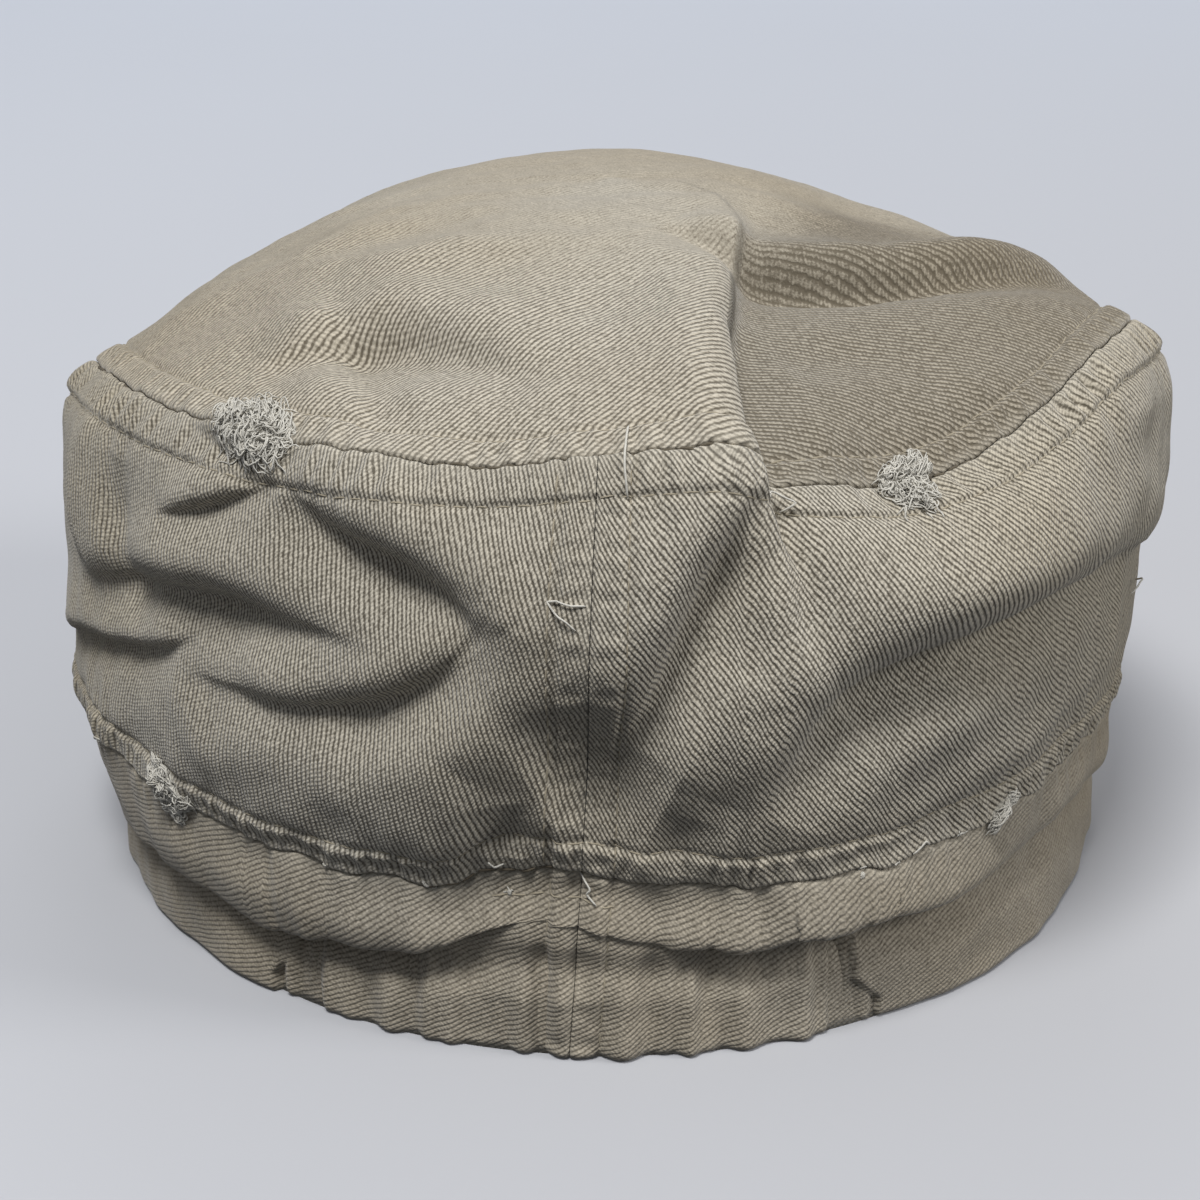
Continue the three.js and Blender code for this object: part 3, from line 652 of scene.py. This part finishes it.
def half_turns(side):
    """Turns from the centre back to the centre front on one side."""
    back = spaced(154.0, 0.22, 0.48, (0.0,), 4.0) / GIRTH_RADIUS * 180 / np.pi
    gap = math.degrees(SEAM_GAP / 2 / BACK_RADIUS)
    back = gap + back * (90 - gap) / back[-1]
    front = np.linspace(90, 180 - gap, 56)[1:]
    turns = np.concatenate([back, front])
    return turns if side > 0 else -turns[::-1]


side_gap = SEAM_GAP / SIDE_MM / 2
side_levels = 1 + side_gap + spaced(SIDE_MM, 0.2, 0.5, (0, SIDE_MM), 8) / SIDE_MM * (1 - 2 * side_gap)
side_inner = np.linspace(side_levels[0], side_levels[-1], 32)
band_levels = spaced(BAND_MM, 0.2, 0.34, (0, BAND_MM), 3) / BAND_MM * (1 - side_gap)
band_inner = np.linspace(0, band_levels[-1], 17)
crown_levels = 2 + SEAM_GAP / CROWN_MM + spaced(CROWN_MM, 0.24, 1.0, (0,), 22) / CROWN_MM * 0.985
crown_inner = np.linspace(crown_levels[0], crown_levels[-1], 30)
crown_turns = np.concatenate([np.linspace(-95, 95, 560), np.linspace(95, 265, 66)[1:-1]])

cloth_piece("crown_top", crown_turns, crown_levels, crown_inner, CLOTH_WALL, closed=True)
for word, side in (("left", -1), ("right", 1)):
    turns = half_turns(side)
    cloth_piece(f"side_{word}", turns, side_levels, side_inner, CLOTH_WALL)
    cloth_piece(f"band_{word}", turns, band_levels, band_inner, BAND_WALL)

# Threads: stitches, seam thread, frayed fibres and loose ends

def tubes(paths, radius, sides):
    """Points and faces of closed tubes along many ways with the same number of points."""
    many, long = paths.shape[:2]
    along = unit(np.gradient(paths, axis=1))
    side = unit(np.cross(along[:, 0], [0.31, 0.17, 0.94]))
    angle = 2 * np.pi * np.arange(sides) / sides
    rings = []
    for i in range(long):
        go = along[:, i]
        side = unit(side - np.sum(side * go, axis=1, keepdims=True) * go)
        other = np.cross(go, side)
        thick = radius * (0.6 if i in (0, long - 1) else 1.0)
        round_way = np.cos(angle)[:, None] * side[:, None] + np.sin(angle)[:, None] * other[:, None]
        rings.append(paths[:, i, None] + thick * round_way)
    tips = paths[:, [0, -1]] + along[:, [0, -1]] * radius * np.array([-0.5, 0.5])[:, None]
    points = np.concatenate([np.stack(rings, 1).reshape(many, -1, 3), tips], axis=1)
    one = np.arange(long * sides).reshape(long, sides)
    pattern = grid_faces(one, closed=True)
    first, last = one[0].tolist(), one[-1].tolist()
    for j in range(sides):
        k = (j + 1) % sides
        pattern.append([first[k], first[j], long * sides])
        pattern.append([last[j], last[k], long * sides + 1])
    count = points.shape[1]
    faces = [[v + n * count for v in face] for n in range(many) for face in pattern]
    return points.reshape(-1, 3), faces


def thread_object(name, groups):
    """One object from several groups of tubes: (paths, radius, sides)."""
    points, faces = [], []
    for paths, radius, sides in groups:
        some, their = tubes(paths, radius, sides)
        start = sum(len(p) for p in points)
        faces += [[v + start for v in face] for face in their]
        points.append(some)
    return new_object(name, np.vstack(points), faces)


def run_along(line):
    """Distance in mm from the start of a line to each of its points."""
    return np.append(0, np.cumsum(np.linalg.norm(np.diff(line, axis=0), axis=1)))


def level_beside(seam, offset, turn):
    """Level of a line that runs offset mm above the crown or band seam, or below it if negative."""
    rim, band, crown = seam_heights(turn)
    if seam == "crown" and offset > 0:
        edge = plain_surface(turn, 2.0)
        radius = np.hypot(edge[..., 0], edge[..., 1])
        return 2 + offset / (radius * np.hypot(1, 2 * (CROWN_HEIGHT - crown) / radius))
    if seam == "crown":
        return 2 + offset / (crown - band)
    return 1 + offset / (crown - band if offset > 0 else band - rim)


STITCH_SHARES = np.linspace(0, 1, 5)


def stitch_row(turn, level, part, seed, length=2.8, gap=0.3, sunk=0.05):
    """Ways of the stitches in a row along a line on the cloth."""
    random = np.random.default_rng(seed)
    line = cloth_point(turn, level, 0.0, part)
    run = run_along(line)
    starts = np.arange(0.3, run[-1] - length, length + gap)
    starts = starts + random.uniform(-0.15, 0.15, len(starts))
    share = STITCH_SHARES
    at = starts[:, None] + length * share * random.uniform(0.9, 1.06, (len(starts), 1))
    t, v = np.interp(at, run, turn), np.interp(at, run, level)
    swerve = random.normal(0, 0.0016, (len(starts), 2))
    v = v + swerve[:, :1] * (1 - share) + swerve[:, 1:] * share
    lift = 0.18 * np.sin(np.pi * share) - 0.08 - sunk
    return cloth_point(t, v, 0.0, part) + lift[:, None] * outward(t, v)


def round_row(seam, offset, part, seed, **options):
    turn = np.arange(-180, 180.1, 0.5)
    level = level_beside(seam, offset, turn)
    return stitch_row(turn, level, part, seed, **options)


def upright_row(offset, low, high, part, seed):
    level = np.linspace(low, high, 120)
    turn = centre_seam(level) + offset / BACK_RADIUS * 180 / np.pi
    return stitch_row(turn, level, part, seed)


STITCH_RADIUS, STITCH_SIDES = 0.15, 5
FIBRE_RADIUS, FIBRE_SIDES, FIBRE_POINTS = 0.14, 3, 9
LOOSE_RADIUS, LOOSE_POINTS = 0.17, 14


def topstitches(*rows):
    return [(row, STITCH_RADIUS, STITCH_SIDES) for row in rows]


thread_groups = {
    "crown_topstitch": topstitches(round_row("crown", ALLOWANCE, "crown", 201)),
    "side_topstitch": topstitches(
        round_row("crown", -ALLOWANCE, "side", 202),
        round_row("band", ALLOWANCE, "side", 203),
        upright_row(-1.2 * ALLOWANCE, 1.01, 1.98, "side", 204),
        upright_row(ALLOWANCE, 1.01, 1.98, "side", 205)),
    "band_topstitch": topstitches(
        upright_row(-ALLOWANCE, 0.05, 0.97, "band", 206),
        upright_row(ALLOWANCE, 0.05, 0.97, "band", 207),
        stitch_row(np.linspace(-12, 2, 60), np.linspace(0.87, 0.855, 60), "band", 208)),
    "seam_thread": [
        (round_row("crown", -0.2, None, 211, length=2.2, gap=0.6, sunk=0.45), 0.26, STITCH_SIDES),
        (round_row("band", 0.2, None, 212, length=2.4, gap=0.7, sunk=0.45), 0.22, STITCH_SIDES),
    ],
}


def fray_fibres(row, seed):
    """Ways of the loose fibres of a worn place, lying and curling on the cloth."""
    random = np.random.default_rng(seed)
    fray_turn, fray_level, wide, high, many, lean, long = row
    share = np.linspace(0, 1, FIBRE_POINTS)
    tufts = max(many // 8, 2)
    tuft = random.integers(0, tufts, many)
    spread = np.sqrt(random.uniform(0, 1, (tufts, 1)))[tuft]
    turned = random.uniform(0, 2 * np.pi, (tufts, 1))[tuft]
    a = spread * np.cos(turned) * wide / 2 + random.normal(0, 0.05 * wide, (many, 1))
    b = spread * np.sin(turned) * high / 2 + random.normal(0, 0.05 * high, (many, 1))
    heading = np.radians(lean) + random.normal(0, 0.9, (tufts, 1))
    heading = heading + np.pi * random.integers(0, 2, (tufts, 1))
    heading = heading[tuft] + random.normal(0, 0.35, (many, 1))
    curl = random.normal(0, 5.6, (tufts, 1))[tuft] + random.normal(0, 1.6, (many, 1))
    heading = heading + curl * (share - 0.5)
    heading = heading + random.uniform(0, 0.8, (many, 1)) * np.sin(11 * share + turned)
    step = long * random.uniform(0.45, 1.25, (many, 1)) / len(share)
    a = a + np.cumsum(step * np.cos(heading), axis=1)
    b = b + np.cumsum(step * np.sin(heading), axis=1)
    a -= 0.6 * (a.mean(1, keepdims=True) - a[:, :1])
    b -= 0.6 * (b.mean(1, keepdims=True) - b[:, :1])
    a += np.sign(fray_turn) * (0.8 * np.maximum(b, 0) + 0.3 * np.minimum(b, 0))
    turn = fray_turn + np.degrees(a / GIRTH_RADIUS)
    seam = np.round(fray_level)
    above, below = (CROWN_MM, SIDE_MM) if seam == 2 else (SIDE_MM, BAND_MM)
    off = fray_level - seam
    b += off * (above if off > 0 else below)
    level = seam + np.where(b > 0, b / above, b / below)
    pile = 1.3 + 0.6 * random.uniform(-1, 1, (tufts, 1))[tuft]
    bow = pile * random.uniform(0.1, 1.4, (many, 1)) * (0.35 + np.sin(np.pi * share))
    bow = np.maximum(bow * (1 - 0.55 * spread), 0.02) * min(1.0, high / 5)
    return cloth_skin(turn, level) + bow[..., None] * outward(turn, level)


def loose_thread(points, lift):
    """Way of a loose thread through turns and levels, lifted a little off the cloth."""
    at = np.array(points, float)
    share = np.linspace(0, len(at) - 1, LOOSE_POINTS)
    turn, level = (np.interp(share, np.arange(len(at)), at[:, i]) for i in (0, 1))
    hump = lift * (0.35 + np.sin(np.pi * share / share[-1]))
    return (cloth_skin(turn, level) + hump[:, None] * outward(turn, level))[None]


LOOSE_THREADS = [
    (0.5, [(-5.5, 1.712), (-4.6, 1.712), (-3.6, 1.703), (-2.4, 1.702)]),
    (0.6, [(-5.5, 1.712), (-4.8, 1.685), (-4.0, 1.672), (-3.2, 1.65)]),
    (0.5, [(1.3, 2.05), (0.9, 2.0), (0.8, 1.97), (1.0, 1.915)]),
    (0.6, [(-3.2, 0.99), (-2.2, 0.93), (-2.6, 0.9), (-1.7, 0.86)]),
    (1.2, [(12.5, 1.93), (14.5, 1.96), (16.5, 1.945), (15.2, 1.92)]),
    (1.6, [(70, 1.32), (72, 1.345), (74, 1.34), (76, 1.32)]),
    (0.4, [(-11.5, 1.03), (-11.0, 1.015), (-10.2, 1.02)]),
    (0.5, [(30, 1.01), (31.2, 1.03), (32, 1.005)]),
]
for number, row in enumerate(FRAYS):
    ways = fray_fibres(row, 300 + number)
    thread_groups[f"fray_{number + 1}"] = [(ways, FIBRE_RADIUS, FIBRE_SIDES)]
thread_groups["loose_threads"] = [(loose_thread(points, lift), LOOSE_RADIUS, STITCH_SIDES)
                                  for lift, points in LOOSE_THREADS]
thread_groups["nicks"] = [(fray_fibres(row, 400 + number), FIBRE_RADIUS, FIBRE_SIDES)
                          for number, row in enumerate(NICKS)]
thread_objects = {name: thread_object(name, groups) for name, groups in thread_groups.items()}

# Peak

PEAK_WALL = 3.0
PEAK_EDGE_WALL = 2.2
PEAK_DEPTH = 54.5
PEAK_HALF_TURN = 55.0
PEAK_TUCK = 2.6
PEAK_FORWARD_LEAN = 0.4
PEAK_FRONT_ROUNDNESS = 2.4
PEAK_BELLY = 1.3
PEAK_EDGE_ROLL = 1.1
PEAK_CORNER_POWER = 0.75
PEAK_LEAST_DEPTH = 0.6
PEAK_ROWS = (4.0, 10.0, 16.0)
PEAK_STITCH, PEAK_STITCH_PITCH = 2.6, 3.1


def peak_depth(across):
    corner = np.maximum(1 - np.abs(across) ** PEAK_FRONT_ROUNDNESS, 0)
    return PEAK_DEPTH * corner ** PEAK_CORNER_POWER + PEAK_LEAST_DEPTH


def peak_point(across, out_share, side):
    """A point on the top (side 1) or the underside (side 0) of the peak."""
    across, u = same_shape(across, out_share)
    turn = 180 + across * PEAK_HALF_TURN
    root, out = plain_surface(turn, 0.0), outward(turn, 0.0)
    forward = unit(np.stack([out[..., 0] * PEAK_FORWARD_LEAN, np.abs(out[..., 1]) + 0.2, 0 * u], -1))
    depth = peak_depth(across)
    wall = PEAK_WALL + (PEAK_EDGE_WALL - PEAK_WALL) * u
    seat = root[..., 2] - 0.3
    point = root - (PEAK_TUCK * (1 - u))[..., None] * out + (depth * u)[..., None] * forward
    from_edge = (1 - u) * depth
    roll = rolled(from_edge, PEAK_EDGE_ROLL) * wall / (2 * PEAK_EDGE_ROLL)
    top = seat - (seat - PEAK_EDGE_WALL) * u**PEAK_BELLY
    stitched = sum(bell(from_edge - line, 0.5) for line in PEAK_ROWS)
    stitched = stitched * smoothstep(depth, 8, 20)
    point[..., 2] = top - roll - 0.25 * stitched if side else top - wall + roll
    return point, from_edge


across, share = np.meshgrid(np.linspace(1, -1, 220), 1 - np.linspace(1, 0, 100) ** 1.6, indexing="xy")
top, from_edge = peak_point(across, share, 1)
under, _ = peak_point(across, share, 0)
count = top.shape[0] * top.shape[1]
upper = np.arange(count).reshape(top.shape[:2])
lower = count + upper
faces = grid_faces(upper) + grid_faces(lower, flip=True)
for edge in ((lower[0], upper[0]), (upper[-1], lower[-1]),
             (upper[:, 0], lower[:, 0]), (lower[:, -1], upper[:, -1])):
    faces += grid_faces(np.stack(edge))
peak_points = np.concatenate([top.reshape(-1, 3), under.reshape(-1, 3)])
peak_uv = weave_place(peak_points[:, 0], peak_points[:, 1], *WEAVE["peak"])
peak_fields = {
    "wear": np.concatenate([bell(from_edge, 1.5).ravel()] * 2),
    "tone": 0.35 + 0.15 * ripple(92, 20, *peak_points.T),
    "fray": np.zeros(len(peak_points)),
    "crisp": np.full(len(peak_points), 0.9),
    "painted_shade": np.zeros(len(peak_points)),
}
pieces["peak"] = new_object("peak_cloth", peak_points, faces, uv=peak_uv, **peak_fields)
peak_stitches = []
sweep = np.linspace(-0.93, 0.93, 260)
for line in PEAK_ROWS:
    full = peak_depth(sweep)
    keep = full > line + 6
    points, _ = peak_point(sweep[keep], 1 - line / full[keep], 1)
    run = run_along(points)
    at = np.arange(0.5, run[-1] - PEAK_STITCH, PEAK_STITCH_PITCH)[:, None] + PEAK_STITCH * STITCH_SHARES
    way = np.stack([np.interp(at, run, points[:, i]) for i in range(3)], -1)
    way[..., 2] += 0.2 * np.sin(np.pi * STITCH_SHARES) - 0.05
    peak_stitches.append(way)
thread_objects["peak_topstitch"] = thread_object("peak_topstitch", topstitches(*peak_stitches))

# Materials

class Nodes:
    """Short calls for building the nodes of a material or world."""

    def __init__(self, owner):
        owner.use_nodes = True
        self.owner, self.tree = owner, owner.node_tree
        self.tree.nodes.clear()

    def add(self, kind, inputs=None, **settings):
        node = self.tree.nodes.new("ShaderNode" + kind)
        for key, value in settings.items():
            setattr(node, key, value)
        for key, value in (inputs or {}).items():
            if isinstance(value, bpy.types.NodeSocket):
                self.tree.links.new(value, node.inputs[key])
            else:
                node.inputs[key].default_value = value
        return node

    def math(self, operation, a, b=0.0, clamp=False):
        return self.add("Math", {0: a, 1: b}, operation=operation, use_clamp=clamp).outputs[0]

    def plus(self, a, b, clamp=False):
        return self.math("ADD", a, b, clamp)

    def times(self, a, b, clamp=False):
        return self.math("MULTIPLY", a, b, clamp)

    def blend(self, a, b, share):
        return self.add("Mix", {0: share, 6: a, 7: b}, data_type="RGBA").outputs[2]

    def noise(self, vector, scale, detail=2.0, rough=0.5):
        inputs = {"Vector": vector, "Scale": scale, "Detail": detail, "Roughness": rough}
        return self.add("TexNoise", inputs).outputs["Fac"]

    def ranged(self, value, low, high, start=0.0, end=1.0):
        """A value that goes from start to end as the one given goes from low to high."""
        inputs = {"Value": value, "From Min": low, "From Max": high, "To Min": start, "To Max": end}
        return self.add("MapRange", inputs).outputs[0]

    def attribute(self, name):
        return self.add("Attribute", attribute_name=name).outputs["Fac"]

    def scaled(self, vector, factor):
        return self.add("VectorMath", {0: vector, 3: factor}, operation="SCALE").outputs[0]

    def body_mm(self):
        return self.scaled(self.add("TexCoord").outputs["Object"], 1000.0)

    def centred(self, value, amount, middle=0.5):
        """How far a value is from its middle, times an amount."""
        return self.times(self.math("SUBTRACT", value, middle), amount)

    def wave(self, angle):
        """A sine from 0 to 1."""
        halves = {0: self.math("SINE", angle), 1: 0.5, 2: 0.5}
        return self.add("Math", halves, operation="MULTIPLY_ADD").outputs[0]

    def finish(self, color, roughness, height, bump_mm, strength=1.0, sheen=0.25):
        bump = self.add("Bump", {"Height": height, "Distance": bump_mm / 1000, "Strength": strength})
        shader = self.add("BsdfPrincipled", {
            "Base Color": color, "Roughness": roughness, "Normal": bump.outputs[0],
            "Sheen Weight": sheen, "Sheen Roughness": 0.45, "Specular IOR Level": 0.18,
        })
        self.add("OutputMaterial", {"Surface": shader.outputs[0]})
        return self.owner


def rgb(red, green, blue):
    """A colour given as display values from 0 to 255."""
    return tuple(((v / 255 + 0.055) / 1.055) ** 2.4 for v in (red, green, blue)) + (1.0,)


# How much each layer of the cloth changes its shade; the painted shade darkens the colour of the crown top
# right of its parting fold, standing in for the shade that falls there
WANDER, JITTER = 0.5, 0.34
RIDGE_POWER, RIDGE_MIDDLE, RIDGE_SHADE = 2.1, 0.62, 0.95
YARN_SHADE, FLECK_SHADE, FIBRE_SHADE, MOTTLE_SHADE, PATCH_SHADE, PAINTED_SHADE_STRENGTH = 0.34, 1.3, 1.5, 0.35, 0.35, 0.42
FLECK_STRETCH = (1.7, 1.15, 1.0)
TWILL_BUMP_MM = 0.22


def twill(name, dark, light, brown):
    """Cotton twill: diagonal ridges of thread, softened by washing."""
    n = Nodes(bpy.data.materials.new(name))
    place = n.scaled(n.add("UVMap", uv_map="UVMap").outputs[0], UV_MM)
    solid = n.body_mm()
    split = n.add("SeparateXYZ", {0: place})
    across, along = split.outputs[0], split.outputs[1]
    across = n.plus(across, n.centred(n.noise(place, 0.16), WANDER))
    across = n.plus(across, n.centred(n.noise(place, 0.9), JITTER))
    turns = n.times(across, 2 * math.pi / TWILL_PITCH)
    valley = n.math("POWER", n.math("SUBTRACT", 1.0, n.wave(turns)), RIDGE_POWER)
    ridge = n.math("SUBTRACT", 1.0, valley)
    along = n.times(along, 2 * math.pi / YARN_PITCH)
    yarn = n.wave(n.plus(along, n.times(turns, 0.5)))
    cell = n.add("VectorMath", {0: place, 1: FLECK_STRETCH}, operation="MULTIPLY").outputs[0]
    fleck = n.noise(cell, 1.0, 1.0)
    fibre = n.noise(solid, 2.6, 3.0, 0.65)
    patch = n.noise(solid, 0.06, 4.0, 0.6)
    mottle = n.noise(solid, 0.45, 3.0, 0.6)
    wear, tone, fray, crisp, painted_shade = (n.attribute(key) for key in ("wear", "tone", "fray", "crisp", "painted_shade"))
    shade = n.plus(n.centred(ridge, n.times(crisp, RIDGE_SHADE), RIDGE_MIDDLE), 0.5)
    bead = n.plus(n.centred(yarn, YARN_SHADE), n.centred(fleck, FLECK_SHADE))
    shade = n.plus(shade, n.times(bead, crisp))
    shade = n.plus(shade, n.centred(fibre, FIBRE_SHADE))
    shade = n.plus(shade, n.centred(mottle, MOTTLE_SHADE), clamp=True)
    # Painted shade: the colour is darkened where the painted shade attribute is set on the crown top
    shade = n.math("SUBTRACT", shade, n.times(painted_shade, PAINTED_SHADE_STRENGTH), clamp=True)
    base = n.blend(dark, light, shade)
    tint = n.plus(tone, n.centred(patch, PATCH_SHADE), clamp=True)
    browned = n.add("Mix", {0: 1.0, 6: base, 7: brown}, data_type="RGBA", blend_type="MULTIPLY").outputs[2]
    base = n.blend(base, browned, tint)
    pale = n.times(wear, n.times(mottle, 0.8), clamp=True)
    base = n.blend(base, rgb(196, 190, 176), n.times(pale, 0.55))
    base = n.blend(base, rgb(206, 203, 192), n.times(fray, 0.8))
    thread_height = n.plus(n.times(n.plus(yarn, fleck), 0.35), 0.45)
    relief = n.times(ridge, thread_height)
    relief = n.times(relief, n.math("SUBTRACT", 1.0, n.times(fray, 0.8)))
    relief = n.times(relief, crisp)
    relief = n.plus(relief, n.times(fibre, 0.5))
    rough = n.plus(n.times(fibre, 0.1), 0.85)
    return n.finish(base, rough, relief, TWILL_BUMP_MM)


# Colours of each part: between the ridges, on them, and the tint of its browner patches
CLOTH_COLORS = {
    "crown": (rgb(112, 105, 92), rgb(206, 199, 184), rgb(236, 228, 214)),
    "side": (rgb(100, 94, 83), rgb(208, 202, 188), rgb(234, 226, 210)),
    "band": (rgb(110, 104, 93), rgb(196, 189, 175), rgb(236, 227, 211)),
    "peak": (rgb(106, 99, 86), rgb(200, 192, 174), rgb(236, 227, 211)),
}


def settle(thing, material, node=None):
    """Gives a piece its material and its place in the frame."""
    thing.data.materials.append(material)
    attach(thing, "root")
    if node:
        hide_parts(node)


def thread(name, color, dark):
    """Cotton thread: fibres along it, a little darker between them."""
    n = Nodes(bpy.data.materials.new(name))
    solid = n.body_mm()
    strand = n.noise(solid, 3.4, 3.0, 0.6)
    soft = n.noise(solid, 0.5, 2.0, 0.5)
    base = n.blend(dark, color, n.math("MULTIPLY_ADD", strand, 1.3, clamp=True))
    base = n.blend(base, dark, n.times(soft, 0.3))
    return n.finish(base, 0.85, strand, 0.08, 1.0, 0.1)


THREAD_LOOKS = {
    "topstitch": thread("topstitch_thread", rgb(170, 161, 142), rgb(96, 88, 74)),
    "seam": thread("seam_thread", rgb(104, 96, 82), rgb(60, 54, 45)),
    "fibre": thread("frayed_cotton", rgb(219, 216, 207), rgb(124, 120, 111)),
}
for node, thing in pieces.items():
    part = node.split("_")[0]
    name = "crown_twill" if part == "crown" else f"{node}_twill"
    settle(thing, twill(name, *CLOTH_COLORS[part]), node)
for name, thing in thread_objects.items():
    kind = "topstitch" if name.endswith("topstitch") else "seam" if name == "seam_thread" else "fibre"
    part = name.split("_")[0]
    settle(thing, THREAD_LOOKS[kind])

# Floor, light and camera

def floor():
    size = 6.0
    mesh = bpy.data.meshes.new("floor")
    corners = [(-size, -size, 0), (size, -size, 0), (size, size, 0), (-size, size, 0)]
    mesh.from_pydata(corners, [], [(0, 1, 2, 3)])
    thing = placed("floor", mesh)
    n = Nodes(bpy.data.materials.new("floor_paper"))
    solid = n.add("TexCoord").outputs["Object"]
    grain = n.noise(solid, 3.0, 3.0)
    split = n.add("SeparateXYZ", {0: solid})
    # Painted shade and light: the floor's colour is darker grey towards +X and paler further back, standing
    # in for how the room's light falls
    color = n.blend(rgb(197, 200, 207), rgb(178, 178, 181), n.ranged(split.outputs[0], -0.5, 0.5))
    color = n.blend(color, rgb(216, 222, 233), n.ranged(split.outputs[1], 0.1, 1.4))
    color = n.blend(color, rgb(190, 192, 198), n.times(grain, 0.15))
    thing.data.materials.append(n.finish(color, 0.9, n.noise(solid, 900.0, 2.0), 0.05, 0.2, 0.0))
    thing.visible_diffuse = False
    thing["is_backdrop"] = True


def area_light(name, energy, size, place, aim, color=(1, 1, 1)):
    data = bpy.data.lights.new(name, "AREA")
    data.energy, data.size, data.color = energy, size, color
    thing = placed(name, data)
    thing.location = place
    towards = Vector(aim) - Vector(place)
    thing.rotation_euler = towards.to_track_quat("-Z", "Y").to_euler()


floor()
area_light("left_window", 66, 0.9, (-0.42, -1.25, 2.6), (0, 0, 0.05), (1.0, 0.99, 0.97))
area_light("right_window", 26, 0.9, (2.3, -0.7, 1.3), (0, 0, 0.06), (1.0, 0.98, 0.95))
area_light("far_ceiling", 15, 1.6, (0, 2.6, 2.2), (0, 1.6, 0), (0.98, 0.99, 1.0))
world = bpy.data.worlds.new("studio")
sky = Nodes(world)
height = sky.add("SeparateXYZ", {0: sky.add("TexCoord").outputs["Generated"]}).outputs[2]
glow = sky.ranged(height, -0.25, 0.7, 0.1, 0.42)
backdrop = sky.add("Background", {"Color": rgb(226, 230, 238), "Strength": glow})
sky.add("OutputWorld", {"Surface": backdrop.outputs[0]})
bpy.context.scene.world = world
bpy.context.scene.view_settings.view_transform = "Standard"

lens = bpy.data.cameras.new("camera")
lens.lens, lens.sensor_width = 80.58, 36.0
lens.clip_start, lens.clip_end = 0.02, 30
camera = placed("camera", lens)
camera.location = (-0.0024, -0.48625, 0.20417)
camera.rotation_euler = (math.radians(70), 0, 0)
bpy.context.scene.camera = camera

for name, low_high in (("cad", cad_box), ("scene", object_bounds())):
    pieces[name] = [[float(v) for v in corner] for corner in low_high]
